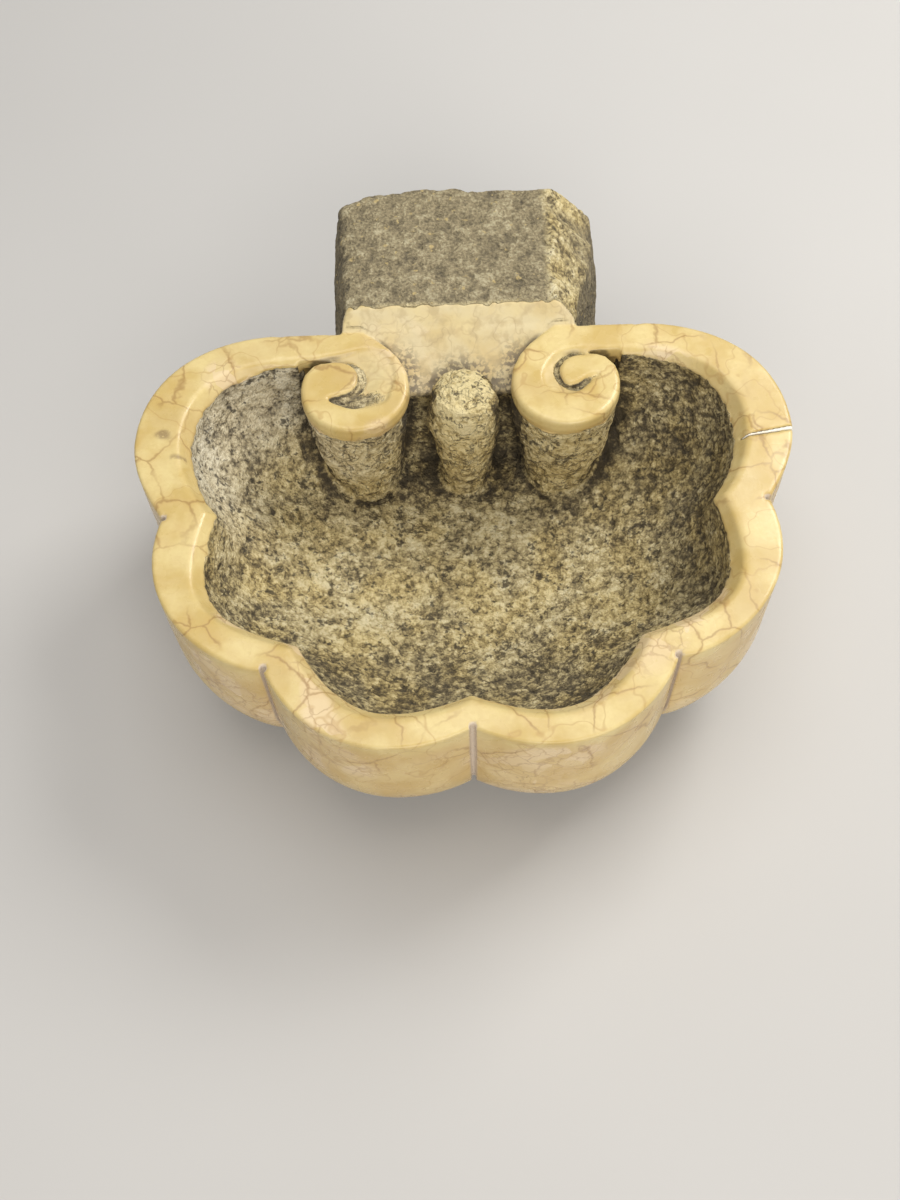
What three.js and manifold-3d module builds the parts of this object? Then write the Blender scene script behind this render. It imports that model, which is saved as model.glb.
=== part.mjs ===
// A wall stoup carved in yellow veined marble: a six-lobed shell basin, two scrolled
// volutes and a bud against its back, and a rough tenon that was built into a wall.
// Millimetres, +Z up. The lobes face -Y, the tenon points to +Y, the basin stands on z = 0.
import * as THREE from 'three';
import { mergeVertices } from 'three/addons/utils/BufferGeometryUtils.js';
import Module from 'manifold-3d';

const wasm = await Module();
wasm.setup();

// Driving dimensions
const HALF_WIDTH = 182.5; // of the basin across its two back lobes
const BASIN_DEPTH = 262; // front lobes to the flat back
const BASIN_HEIGHT = 130;
const TENON_LENGTH = 106; // how far the tenon reaches behind the basin
const TENON_RISE = 9; // its top above the rim
const SHOULDER_SLOPE = 0.7; // rise over run of the smooth face between the volutes
const RIM_BACK = 19; // width of the rim band along the back
const BOWL_DEPTH = 88;
const BOWL_MOUTH = 0.96; // the rough hollow against the inner edge of the rim band
const BEVEL = 7; // depth of the polished bevel inside the rim band
const WALL_DROP = 55; // height of the upright part of the outer wall
const FOOT_SCALE = 0.66; // the flat foot against the rim outline
const JOINT = 0.3; // clearance between neighbouring members

// Places worked out from them. Plan positions are laid out from the front of the basin,
// and at the end everything moves so that the whole thing is centred on the origin.
const BACK_WALL = BASIN_DEPTH - RIM_BACK; // inner face of the back wall
const OUTER_FOCUS = new THREE.Vector2(0, 225); // the outer wall draws in towards this
const BOWL_FOCUS = new THREE.Vector2(0, 180); // the deepest point of the bowl
const LEDGE = 14; // depth of the seat that carries the volute heads
const TONGUE = { halfWidth: 40, depth: 42, upperHalfWidth: 60 }; // of the shoulder where it reaches between them
const SCREEN_FRONT = 230; // stone left standing between the volutes, behind the bud
const SCREEN_HALF = 50;
const HEAD_END = 88; // where a volute head meets the rim band, from the centre line

const VOLUTE = { x: 60, y: 222, radius: 31, foot: 22, eyeX: 67, eyeY: 229 };
const BUD = { x: 2, y: 219, radius: 20.5, top: 1 };
const SPIRAL_GROOVE = { depth: 4, radius: 2.8 };
const CUSP_GROOVE = { depth: 3, radius: 2.6 };
const CRACK = { y: 179, length: 28, inner: 1.2, outer: 3, depth: 26, slant: 4.8 };
const TENON = { top: 67, bottom: 80, rear: 15, leftShare: 0.25, floor: 6, breakFrom: 57 };

// One half of each outline as cubic curves: start, two handles, end.
const OUTER_LOBES = [
  [[0, 10.5], [48, -14], [90, 9.5], [105, 46]],
  [[105, 46], [119, 42], [182, 77], [163, 138]],
  [[163, 138], [171, 150], [HALF_WIDTH, 168], [HALF_WIDTH, 188]],
  [[HALF_WIDTH, 188], [HALF_WIDTH, 232], [150, BASIN_DEPTH], [100, BASIN_DEPTH]],
];
const INNER_LOBES = [
  [[0, 25], [54, 3], [74, 24], [92, 57]],
  [[92, 57], [130, 70], [157, 78], [140, 141]],
  [[140, 141], [149, 152], [158, 170], [158, 190]],
  [[158, 190], [158, 222], [137, BACK_WALL], [98, BACK_WALL]],
];
const LOBE_STEPS = [9, 9, 4, 7];

function cubic([a, b, c, d], steps) {
  const curve = new THREE.CubicBezierCurve(
    new THREE.Vector2(...a),
    new THREE.Vector2(...b),
    new THREE.Vector2(...c),
    new THREE.Vector2(...d),
  );
  return curve.getPoints(steps).slice(0, steps);
}

// A closed outline, anticlockwise from the front cusp, from the half that is given.
function mirroredOutline(lobes, backY) {
  const half = lobes.flatMap((lobe, i) => cubic(lobe, LOBE_STEPS[i]));
  const last = lobes[lobes.length - 1][3];
  half.push(new THREE.Vector2(...last), new THREE.Vector2(last[0] / 2, backY));
  const other = half.slice(1).reverse().map((p) => new THREE.Vector2(-p.x, p.y));
  return [...half, new THREE.Vector2(0, backY), ...other];
}

// Rounds the corners that point into the bowl, by averaging each with its neighbours.
function softened(points, share) {
  return points.map((p, i) => {
    const before = points[(i + points.length - 1) % points.length];
    const after = points[(i + 1) % points.length];
    return p.clone().lerp(before.clone().add(after).multiplyScalar(0.5), share);
  });
}

function ringAt(outline, focus, scale, z) {
  return outline.map((p) => {
    const q = focus.clone().lerp(p, scale);
    return new THREE.Vector3(q.x, q.y, z);
  });
}

// A closed body through rings of equal length, the first lowest or outermost.
function loft(rings, capStart, capEnd) {
  const count = rings[0].length;
  const positions = rings.flat().flatMap((p) => [p.x, p.y, p.z]);
  const index = [];
  for (let r = 0; r + 1 < rings.length; r += 1) {
    for (let i = 0; i < count; i += 1) {
      const a = r * count + i;
      const b = r * count + ((i + 1) % count);
      index.push(a, b, b + count, a, b + count, a + count);
    }
  }
  const startCentre = positions.length / 3;
  positions.push(capStart.x, capStart.y, capStart.z, capEnd.x, capEnd.y, capEnd.z);
  for (let i = 0; i < count; i += 1) {
    const next = (i + 1) % count;
    const top = (rings.length - 1) * count;
    index.push(startCentre, next, i, startCentre + 1, top + i, top + next);
  }
  const geometry = new THREE.BufferGeometry();
  geometry.setAttribute('position', new THREE.Float32BufferAttribute(positions, 3));
  geometry.setIndex(index);
  return geometry;
}

function centreOf(ring) {
  return ring.reduce((sum, p) => sum.add(p), new THREE.Vector3()).divideScalar(ring.length);
}

function loftSolid(rings) {
  return solid(loft(rings, centreOf(rings[0]), centreOf(rings[rings.length - 1])));
}

function solid(geometry) {
  const bare = geometry.clone();
  bare.deleteAttribute('normal');
  bare.deleteAttribute('uv');
  const welded = mergeVertices(bare, 1e-4);
  return new wasm.Manifold(new wasm.Mesh({
    numProp: 3,
    vertProperties: new Float32Array(welded.attributes.position.array),
    triVerts: new Uint32Array(welded.index.array),
  }));
}

function box(x0, x1, y0, y1, z0, z1) {
  const geometry = new THREE.BoxGeometry(x1 - x0, y1 - y0, z1 - z0);
  geometry.translate((x0 + x1) / 2, (y0 + y1) / 2, (z0 + z1) / 2);
  return solid(geometry);
}

function prism(points, z0, z1) {
  const geometry = new THREE.ExtrudeGeometry(new THREE.Shape(points), {
    depth: z1 - z0,
    bevelEnabled: false,
  });
  geometry.translate(0, 0, z0);
  return solid(geometry);
}

// A round-bottomed groove cutter: a ring of given radius carried along a path.
function grooveCutter(path, radius, sides = 8) {
  const rings = path.map((p, i) => {
    const ahead = path[Math.min(i + 1, path.length - 1)];
    const behind = path[Math.max(i - 1, 0)];
    const along = ahead.clone().sub(behind).normalize();
    const helper = Math.abs(along.z) > 0.7 ? new THREE.Vector3(0, 1, 0) : new THREE.Vector3(0, 0, 1);
    const u = helper.cross(along).normalize();
    const v = along.clone().cross(u);
    return Array.from({ length: sides }, (_, k) => {
      const angle = (2 * Math.PI * k) / sides;
      return p.clone()
        .addScaledVector(u, radius * Math.cos(angle))
        .addScaledVector(v, radius * Math.sin(angle));
    });
  });
  return loftSolid(rings);
}

function circle(x, y, radius, z, sides = 28) {
  return Array.from({ length: sides }, (_, k) => {
    const angle = (2 * Math.PI * k) / sides;
    return new THREE.Vector3(x + radius * Math.cos(angle), y + radius * Math.sin(angle), z);
  });
}

// How far the outer wall has drawn in at a height below the rim.
function wallScale(below) {
  if (below <= WALL_DROP) return 1;
  const share = (below - WALL_DROP) / (BASIN_HEIGHT - WALL_DROP);
  return 1 - (1 - FOOT_SCALE) * (1 - Math.sqrt(Math.max(0, 1 - share * share)));
}

const RIM_Z = BASIN_HEIGHT;
const OUTER = mirroredOutline(OUTER_LOBES, BASIN_DEPTH);
const INNER = softened(mirroredOutline(INNER_LOBES, BACK_WALL), 0.5);
const FRONT = Math.min(...OUTER.map((p) => p.y));
const CENTRE_Y = (FRONT + BASIN_DEPTH + TENON_LENGTH) / 2;

function outerBody() {
  const steps = [1, 0.985, 0.95, 0.88, 0.76, 0.6, 0.4, 0.2, 0];
  const curved = steps.map((s) => WALL_DROP + s * (BASIN_HEIGHT - WALL_DROP));
  const depths = [...curved, 1.5];
  const rings = depths.map((d) => ringAt(OUTER, OUTER_FOCUS, wallScale(d), RIM_Z - d));
  rings.push(ringAt(OUTER, OUTER_FOCUS, 0.993, RIM_Z));
  return loft(rings, new THREE.Vector3(0, OUTER_FOCUS.y, 0), new THREE.Vector3(0, 150, RIM_Z));
}

// The hollow: upright at the rim, round at the bottom.
function bowlBody() {
  const power = 2.3;
  const shares = [0.16, 0.36, 0.56, 0.72, 0.84, 0.92, 0.97, 0.99];
  const rings = shares.map((s) => {
    const below = BOWL_DEPTH * (1 - s ** power) ** (1 / power);
    return ringAt(INNER, BOWL_FOCUS, s * BOWL_MOUTH, RIM_Z - below);
  });
  rings.push(ringAt(INNER, BOWL_FOCUS, BOWL_MOUTH, RIM_Z - BEVEL));
  rings.push(ringAt(INNER, BOWL_FOCUS, 1, RIM_Z));
  rings.push(ringAt(INNER, BOWL_FOCUS, 1, RIM_Z + 1));
  const floor = new THREE.Vector3(BOWL_FOCUS.x, BOWL_FOCUS.y, RIM_Z - BOWL_DEPTH);
  return loft(rings, floor, new THREE.Vector3(BOWL_FOCUS.x, BOWL_FOCUS.y, RIM_Z + 1));
}

function cuspGrooves() {
  const cusps = [[0, 10.5], [105, 46], [163, 138], [-105, 46], [-163, 138]];
  return cusps.map(([x, y]) => {
    const cusp = new THREE.Vector2(x, y);
    const outward = cusp.clone().sub(OUTER_FOCUS).normalize();
    const depths = [-4, WALL_DROP, 75, 95, 112, 124];
    const path = depths.map((below) => {
      const at = OUTER_FOCUS.clone().lerp(cusp, wallScale(Math.max(below, 0)));
      at.addScaledVector(outward, CUSP_GROOVE.radius - CUSP_GROOVE.depth);
      return new THREE.Vector3(at.x, at.y, RIM_Z - below);
    });
    return grooveCutter(path, CUSP_GROOVE.radius);
  });
}

// The head seen from above: rim band, then round the scroll and back in behind it.
function headOutline(grow) {
  const band = [[HEAD_END + grow, BASIN_DEPTH + grow], [VOLUTE.x + 6, BASIN_DEPTH + grow]];
  const turns = [[95, 40], [110, 36.5], [125, 34], [140, 32.5], [160, 31.5]];
  for (let angle = 180; angle <= 380; angle += 14.3) turns.push([angle, VOLUTE.radius]);
  turns.push([395, 29.5], [405, 27]);
  if (grow === 0) turns.push([415, 24.5]); // a seat leaves out the narrow end of the notch
  const round = turns.map(([angle, radius]) => {
    const a = THREE.MathUtils.degToRad(angle);
    return [
      VOLUTE.x + (radius + grow) * Math.cos(a),
      VOLUTE.y + (radius + grow) * Math.sin(a),
    ];
  });
  const inner = [[76, BACK_WALL - 2 * grow], [HEAD_END + grow, BACK_WALL - grow]];
  return [...band, ...round, ...inner].map(([x, y]) => new THREE.Vector2(x, y));
}

// The groove leaves the notch behind the scroll and winds once round its eye.
function spiralGroove() {
  const turns = [
    [50, 19], [78, 14.3], [116, 11.6], [169, 11.2], [205, 12.4],
    [240, 12.8], [271, 11.8], [310, 9.4], [335, 10.5],
  ];
  const path = turns.map(([angle, radius]) => {
    const a = THREE.MathUtils.degToRad(angle);
    const x = VOLUTE.eyeX + radius * Math.cos(a);
    const y = VOLUTE.eyeY + radius * Math.sin(a);
    return new THREE.Vector3(x, y, RIM_Z + SPIRAL_GROOVE.radius - SPIRAL_GROOVE.depth);
  });
  return grooveCutter(path, SPIRAL_GROOVE.radius);
}

function voluteColumn(grow) {
  const levels = [[94 + grow, 0.98], [88, 1], [70, 1.07], [50, 1.21], [28, 1.34], [LEDGE - 2, 1.385]];
  const rings = levels.map(([below, share]) => {
    const radius = VOLUTE.foot * share + grow;
    return circle(VOLUTE.x, VOLUTE.y, radius, RIM_Z - below);
  });
  const keep = box(-200, 200, 0, BACK_WALL - JOINT + grow, -50, RIM_Z);
  return loftSolid(rings).intersect(keep);
}

function volute() {
  const head = prism(headOutline(0), RIM_Z - LEDGE + JOINT, RIM_Z);
  const cutEnd = box(HEAD_END - JOINT, 200, 0, 300, 0, 300);
  return head.add(voluteColumn(0)).subtract(spiralGroove()).subtract(cutEnd);
}

function bud(grow) {
  const rings = [
    [94 + grow, 0.73], [80, 0.77], [60, 0.87], [40, 0.97], [24, 1], [14, 0.95], [6, 0.77], [1, 0.45],
  ];
  const made = rings.map(([below, share]) => {
    const radius = BUD.radius * share + grow;
    return circle(BUD.x, BUD.y, radius, RIM_Z + BUD.top - below, 24);
  });
  return loftSolid(made);
}

// A long prism from its section: along X from a (y, z) section, or along Y from an (x, z) one.
function longPrism(section, alongX) {
  const shape = new THREE.Shape(section.map(([a, z]) => new THREE.Vector2(a, z)));
  const geometry = new THREE.ExtrudeGeometry(shape, { depth: 800, bevelEnabled: false });
  const [x, y, z] = [[1, 0, 0], [0, 1, 0], [0, 0, 1]].map((v) => new THREE.Vector3(...v));
  const turn = new THREE.Matrix4();
  if (alongX) turn.makeBasis(y, z, x);
  else turn.makeBasis(x, z, y.clone().negate());
  geometry.applyMatrix4(turn);
  geometry.translate(alongX ? -400 : 0, alongX ? 0 : 600, 0);
  return solid(geometry);
}

// The smooth shoulder runs down from the tenon's front edge, between the volutes.
function aboveShoulder() {
  const y0 = BASIN_DEPTH - 60;
  const y1 = BASIN_DEPTH + TENON_RISE / SHOULDER_SLOPE + 40;
  const [z0, z1] = [y0, y1].map((y) => RIM_Z + (y - BASIN_DEPTH) * SHOULDER_SLOPE);
  return longPrism([[y0, z0], [y1, z1], [y0, z1]], true);
}

// The right top edge of the tenon is broken off at a slant.
function brokenEdge() {
  const top = RIM_Z + TENON_RISE;
  const size = 60;
  return longPrism([[TENON.breakFrom, top], [TENON.breakFrom + size, top - size],
    [TENON.breakFrom + size, top + 1], [TENON.breakFrom, top + 1]], false);
}

// A four-cornered section of the tenon across Y, its corners rounded off.
function tenonSection(y, widen, lower, rounding) {
  const top = RIM_Z + TENON_RISE - lower;
  const corners = [
    [-TENON.bottom - widen * TENON.leftShare, TENON.floor],
    [TENON.bottom + widen, TENON.floor],
    [TENON.top + widen, top],
    [-TENON.top - widen * TENON.leftShare, top],
  ].map(([x, z]) => new THREE.Vector3(x, y, z));
  return corners.flatMap((corner, i) => {
    const [a, b] = [corners[(i + 3) % 4], corners[(i + 1) % 4]].map((other) => {
      const arm = other.clone().sub(corner).setLength(rounding);
      return corner.clone().add(arm);
    });
    const middle = a.clone().lerp(b, 0.5).lerp(corner, 0.42);
    return [a, middle, b];
  });
}

function tenonBlock() {
  const back = BASIN_DEPTH + TENON_LENGTH;
  const rings = [
    tenonSection(BASIN_DEPTH + JOINT, 0, 0, 3),
    tenonSection(BASIN_DEPTH + 30, TENON.rear * 0.4, 0, 4),
    tenonSection(back - 20, TENON.rear, 1, 7),
    tenonSection(back - 6, TENON.rear - 2, 3, 11),
    tenonSection(back, TENON.rear - 7, 8, 14),
  ];
  return loftSolid(rings.reverse());
}

function crackBody(grow) {
  const start = HALF_WIDTH - CRACK.length;
  const end = HALF_WIDTH + 2;
  const points = [
    [start, CRACK.y - CRACK.inner / 2 - grow],
    [end, CRACK.y + CRACK.slant - CRACK.outer / 2 - grow],
    [end, CRACK.y + CRACK.slant + CRACK.outer / 2 + grow],
    [start, CRACK.y + CRACK.inner / 2 + grow],
  ].map(([x, y]) => new THREE.Vector2(x, y));
  return prism(points, RIM_Z - CRACK.depth - grow, RIM_Z + (grow ? 5 : 0));
}

function mirrored(manifold) {
  return manifold.mirror([1, 0, 0]);
}

const stone = { color: '#dcc07c', roughness: 0.32, metalness: 0 };
const peckedStone = { color: '#9c8c66', roughness: 0.9, metalness: 0 };
const filler = { color: '#f3efe2', roughness: 0.6, metalness: 0 };

const group = new THREE.Group();
group.name = 'wall_stoup';

function addNode(name, manifold, finish) {
  const made = manifold.getMesh();
  const geometry = new THREE.BufferGeometry();
  geometry.setAttribute('position', new THREE.Float32BufferAttribute(made.vertProperties, 3));
  geometry.setIndex(new THREE.BufferAttribute(new Uint32Array(made.triVerts), 1));
  geometry.translate(0, -CENTRE_Y, 0);
  geometry.computeVertexNormals();
  const mesh = new THREE.Mesh(geometry, new THREE.MeshStandardMaterial(finish));
  mesh.name = name;
  group.add(mesh);
}

const outerSolid = solid(outerBody());
const rightVolute = volute();
const seatEnd = HEAD_END + JOINT;
const seatFront = BACK_WALL - 0.01;
const tongueFront = SCREEN_FRONT - 0.01;
const seat = box(-seatEnd, seatEnd, seatFront, 300, RIM_Z - LEDGE, 300);
const tongueEnd = TONGUE.halfWidth + JOINT;
const tongueSeat = box(-tongueEnd, tongueEnd, tongueFront, 300, RIM_Z - TONGUE.depth, 300);
const headSeat = prism(headOutline(JOINT), RIM_Z - LEDGE, RIM_Z + 5);
const columnSeat = voluteColumn(JOINT);
const crackSlot = crackBody(JOINT);

const screen = box(-SCREEN_HALF, SCREEN_HALF, SCREEN_FRONT, BASIN_DEPTH - 10, 20, RIM_Z);
const bowl = solid(bowlBody()).subtract(screen);

let basin = outerSolid.subtract(bowl).subtract(seat).subtract(tongueSeat);
cuspGrooves().forEach((cutter) => { basin = basin.subtract(cutter); });
[headSeat, mirrored(headSeat), columnSeat, mirrored(columnSeat), bud(JOINT), crackSlot]
  .forEach((cutter) => { basin = basin.subtract(cutter); });
addNode('basin', basin, stone);

addNode('left_volute', mirrored(rightVolute), stone);
addNode('right_volute', rightVolute, stone);
addNode('centre_bud', bud(0), peckedStone);

function tonguePart(halfWidth, front, depth) {
  const bottom = RIM_Z - depth + JOINT;
  return box(-halfWidth, halfWidth, front, BASIN_DEPTH + 5, bottom, RIM_Z + 3);
}

const tenon = tenonBlock()
  .add(tonguePart(TONGUE.halfWidth, SCREEN_FRONT, TONGUE.depth))
  .add(tonguePart(TONGUE.upperHalfWidth, BACK_WALL, LEDGE))
  .subtract(aboveShoulder())
  .subtract(brokenEdge())
  .subtract(columnSeat)
  .subtract(mirrored(columnSeat))
  .subtract(headSeat)
  .subtract(mirrored(headSeat))
  .subtract(bud(JOINT));
addNode('wall_tenon', tenon, peckedStone);
addNode('rim_crack_fill', crackBody(0).intersect(outerSolid), filler);

export default group;
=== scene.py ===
"""Looks for the wall stoup: one block of yellow veined marble, polished outside and on the rim,
point-chiselled inside the bowl and on the tenon that was built into the wall.

The whole carving is one signed field in plan millimetres: x from the centre line, y from the
front of the basin to the back, z up from the base. Each CAD node gets its share of that stone
as its own closed mesh, and the shares meet close to the creases of the carving.
"""
import math

import bpy
import numpy as np
from mathutils import Matrix, Vector


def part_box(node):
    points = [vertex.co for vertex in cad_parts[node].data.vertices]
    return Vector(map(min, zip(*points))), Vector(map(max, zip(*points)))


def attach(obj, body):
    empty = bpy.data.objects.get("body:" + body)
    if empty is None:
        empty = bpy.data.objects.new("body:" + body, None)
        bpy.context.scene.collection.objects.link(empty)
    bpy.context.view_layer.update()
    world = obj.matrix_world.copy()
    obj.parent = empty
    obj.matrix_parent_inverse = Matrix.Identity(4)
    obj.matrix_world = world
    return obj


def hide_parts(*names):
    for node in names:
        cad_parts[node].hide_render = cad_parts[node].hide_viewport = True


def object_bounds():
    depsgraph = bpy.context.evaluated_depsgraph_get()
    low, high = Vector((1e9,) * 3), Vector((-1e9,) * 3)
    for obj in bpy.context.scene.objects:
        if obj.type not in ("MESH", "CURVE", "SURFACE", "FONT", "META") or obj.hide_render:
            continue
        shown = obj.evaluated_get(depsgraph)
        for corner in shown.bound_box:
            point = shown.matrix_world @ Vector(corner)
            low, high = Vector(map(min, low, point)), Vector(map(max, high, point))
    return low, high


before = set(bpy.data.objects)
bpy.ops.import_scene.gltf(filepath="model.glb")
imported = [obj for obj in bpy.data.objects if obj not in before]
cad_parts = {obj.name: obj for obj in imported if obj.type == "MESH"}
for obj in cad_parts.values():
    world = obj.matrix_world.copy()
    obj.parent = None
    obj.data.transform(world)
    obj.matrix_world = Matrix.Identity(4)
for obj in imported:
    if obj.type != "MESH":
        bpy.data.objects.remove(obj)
CAD_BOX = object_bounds()

# ---------------------------------------------------------------- sizes, from the frame
MM = 0.001


def box_mm(node):
    """The corners of a CAD node in the row frame, in millimetres."""
    low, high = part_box(node)
    return np.array(low) / MM, np.array(high) / MM


BASIN_LOW, BASIN_HIGH = box_mm("basin")
TENON_LOW, TENON_HIGH = box_mm("wall_tenon")
HEAD_LOW, HEAD_HIGH = box_mm("right_volute")
BUD_LOW, BUD_HIGH = box_mm("centre_bud")
FILL_LOW = box_mm("rim_crack_fill")[0]

BASIN_DEPTH = 262.0
ORIGIN_Y = BASIN_HIGH[1] - BASIN_DEPTH  # plan y 0 in the row frame
HALF_WIDTH = BASIN_HIGH[0]
RIM_Z = BASIN_HIGH[2]
TENON_BACK = TENON_HIGH[1] - ORIGIN_Y
TENON_TOP = TENON_HIGH[2]
TENON_FLOOR = TENON_LOW[2]
SCREEN_FRONT = TENON_LOW[1] - ORIGIN_Y  # stone left standing behind the bud
HEAD_END = HEAD_HIGH[0]
SCROLL_RADIUS = 31.0
SCROLL_X = HEAD_LOW[0] + SCROLL_RADIUS
SCROLL_Y = HEAD_LOW[1] - ORIGIN_Y + SCROLL_RADIUS
BUD_X = (BUD_LOW[0] + BUD_HIGH[0]) / 2
BUD_Y = (BUD_LOW[1] + BUD_HIGH[1]) / 2 - ORIGIN_Y
BUD_TOP = BUD_HIGH[2]
BUD_RADIUS = (BUD_HIGH[0] - BUD_LOW[0]) / 2

# Driving sizes in millimetres, most of them as in the CAD part.
RIM_BACK = 19.0
BACK_WALL = BASIN_DEPTH - RIM_BACK
WALL_DROP = 55.0  # height of the upright part of the outer wall
WALL_CURVE = RIM_Z - WALL_DROP  # height of the curved part below it
FOOT_SHARE = 0.66  # the flat foot against the rim outline
OUTER_FOCUS_Y = 225.0
BOWL_FOCUS_Y = 180.0
BOWL_DEPTH = 88.0
BOWL_MOUTH = 0.96
BOWL_POWER = 2.3
LOBE_FADE = 0.42  # the deep bowl's lobes are averaged over this angle on each side, in radians
BEVEL_RUN = 0.8  # how far the polished bevel inside the rim leans in for each millimetre down
BEVEL_REACH = 16.0  # the bevel has run out into the hollow by this depth
SHOULDER_SLOPE = 0.7
SHOULDER_HALF = 69.0
SHOULDER_START = BOWL_FOCUS_Y + 30  # nothing in front of this is cut down to the shoulder
CREST = BASIN_DEPTH + (TENON_TOP - RIM_Z) / SHOULDER_SLOPE  # where the shoulder meets the tenon's top
HEAD_SIDE = 10.0  # height of the polished side of a volute head
TONGUE_HALF, TONGUE_DEPTH = 40.0, 42.0
TONGUE_UPPER_HALF, LEDGE = 60.0, 14.0
FOOT_RADIUS = 22.0
CUSP_GROOVE_RADIUS, CUSP_GROOVE_DEPTH = 1.5, 2.2
EYE_X, EYE_Y = 67.0, 229.0  # the eye of a scroll
TENON_HALF_TOP, TENON_HALF_BOTTOM = 67.0, 80.0
TENON_WIDEN, TENON_LEFT_SHARE = 15.0, 0.25
TENON_BULGE = 2.0  # its sides bulge between top and bottom
TENON_BREAK = 57.0  # where its right top edge is broken off at a slant
TENON_LEAD = 24  # the block starts this far inside the basin's back
SCREEN_HALF = 50.0
HEAD_OVERRUN, HEAD_BEHIND = 14, 10  # a head's outline runs on past its end and its back
BAND_START = SCROLL_X + 6
HEAD_INNER_X = 76
CRACK_START_Y, CRACK_END_Y = 179.0, 183.8
CRACK_HALVES = (0.45, 1.1)  # half its width at the inner and the outer end

RIM_EDGE, HEAD_EDGE = 1.8, 3.6  # rounding of the polished edges
FILLET = 4.0  # between a column and the bowl
LAP = 2.0  # how far a piece runs on, hidden under its neighbour
SEAM = 3.0  # from the surface of a column, a head or the bud to the seam round it
PITCH = 1.15  # mesh size of the basin and the tenon
FINE_PITCH = 0.85  # mesh size of the volutes and the bud
FILLER_PITCH = 0.6
NODE_MARGIN = 3  # room for the mesh grid round a node's box
BOX_MARGIN = 0.02  # the meshes keep this far inside the CAD box
SINK = 0.08  # how steeply a piece dives under its neighbour where it runs on

# Half outlines as cubic curves: start, two handles, end.
OUTER_LOBES = [
    [(0, 10.5), (48, -14), (90, 9.5), (105, 46)],
    [(105, 46), (119, 42), (182, 77), (163, 138)],
    [(163, 138), (171, 150), (HALF_WIDTH, 168), (HALF_WIDTH, 188)],
    [(HALF_WIDTH, 188), (HALF_WIDTH, 232), (150, BASIN_DEPTH), (100, BASIN_DEPTH)],
]
INNER_LOBES = [
    [(0, 25), (54, 3), (74, 24), (92, 57)],
    [(92, 57), (130, 70), (157, 78), (140, 141)],
    [(140, 141), (149, 152), (158, 170), (158, 190)],
    [(158, 190), (158, 222), (137, BACK_WALL), (98, BACK_WALL)],
]
CUSPS = [OUTER_LOBES[0][0], OUTER_LOBES[1][0], OUTER_LOBES[2][0]]

# The dark turn of each scroll, seen from above, on the side where x is positive.
RIGHT_TURN = [
    (78, 244), (66, 243.5), (57.5, 241), (51.5, 234.5), (48.5, 227), (49.5, 219.5), (54, 214.5),
    (60, 213), (67, 215), (73, 220.5), (78, 225), (73, 223.5), (66.5, 219.3), (61, 218.5),
    (57.5, 222.5), (56.5, 230), (59.5, 236.5), (66, 240.5), (76, 241),
]
LEFT_TURN = [
    (80, 243.5), (71, 245), (63, 247), (55, 248.5), (47, 247.5), (41.5, 242), (38.5, 234), (38.5, 226),
    (41, 218), (43, 212.5), (50, 209.5), (60, 208), (67, 210), (74, 214.5), (65, 217.5), (60, 221.5),
    (58, 227), (59, 234), (64, 239.5), (71, 241.5), (78, 241),
]

# Radius of a volute column against the foot radius, and of the bud against its widest,
# at depths below the rim.
COLUMN_DEPTHS = [0, 12, 28, 50, 70, 88, 100]
COLUMN_SHARES = [1.39, 1.385, 1.34, 1.21, 1.07, 1.0, 1.0]
BUD_DEPTHS = [0, 4, 12, 24, 40, 60, 80, 100]
BUD_SHARES = [0.72, 0.84, 0.95, 1.0, 0.97, 0.88, 0.78, 0.74]

# How far a volute head reaches from the middle of its scroll, over the angle in degrees.
HEAD_TURNS = [95, 110, 125, 140, 160, 180, 380, 395, 405, 415]
HEAD_REACHES = [40, 36.5, 34, 32.5, 31.5, SCROLL_RADIUS, SCROLL_RADIUS, 29.5, 27, 24.5]

# Brown stains on the polished rim: x, y and radius.
RIM_STAINS = [(-167, 194, 7), (-157, 178, 3)]


# ---------------------------------------------------------------- small tools
def ramp(value, start, end):
    """0 at start, 1 at end, smooth between them."""
    t = np.clip((value - start) / (end - start), 0.0, 1.0)
    return t * t * (3.0 - 2.0 * t)


def blend_values(a, b, share):
    return a + (b - a) * share


def soft_min(a, b, size):
    share = np.clip(0.5 + 0.5 * (b - a) / size, 0.0, 1.0)
    return b + (a - b) * share - size * share * (1.0 - share)


def soft_max(a, b, size):
    return -soft_min(-a, -b, size)


def cubic_points(curve, steps):
    a, b, c, d = (np.array(p, float) for p in curve)
    t = np.linspace(0, 1, steps, endpoint=False)[:, None]
    return (1 - t) ** 3 * a + 3 * t * (1 - t) ** 2 * b + 3 * t * t * (1 - t) * c + t ** 3 * d


def mirrored_outline(lobes, steps=22):
    """A whole closed outline from its half, anticlockwise from the front cusp."""
    half = np.vstack([cubic_points(lobe, steps) for lobe in lobes] + [[lobes[-1][3]]])
    other = half[1:][::-1] * (-1, 1)
    return np.vstack([half, other])


def rounded_outline(points, steps=5):
    """A closed smooth curve through the points."""
    p = np.array(points, float)
    before, after, beyond = np.roll(p, 1, 0), np.roll(p, -1, 0), np.roll(p, -2, 0)
    bend = 2 * before - 5 * p + 4 * after - beyond
    twist = 3 * p - before - 3 * after + beyond
    shares = np.linspace(0, 1, steps, endpoint=False)
    turns = [0.5 * (2 * p + (after - before) * t + bend * t * t + twist * t ** 3) for t in shares]
    return np.stack(turns, 1).reshape(-1, 2)


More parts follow.
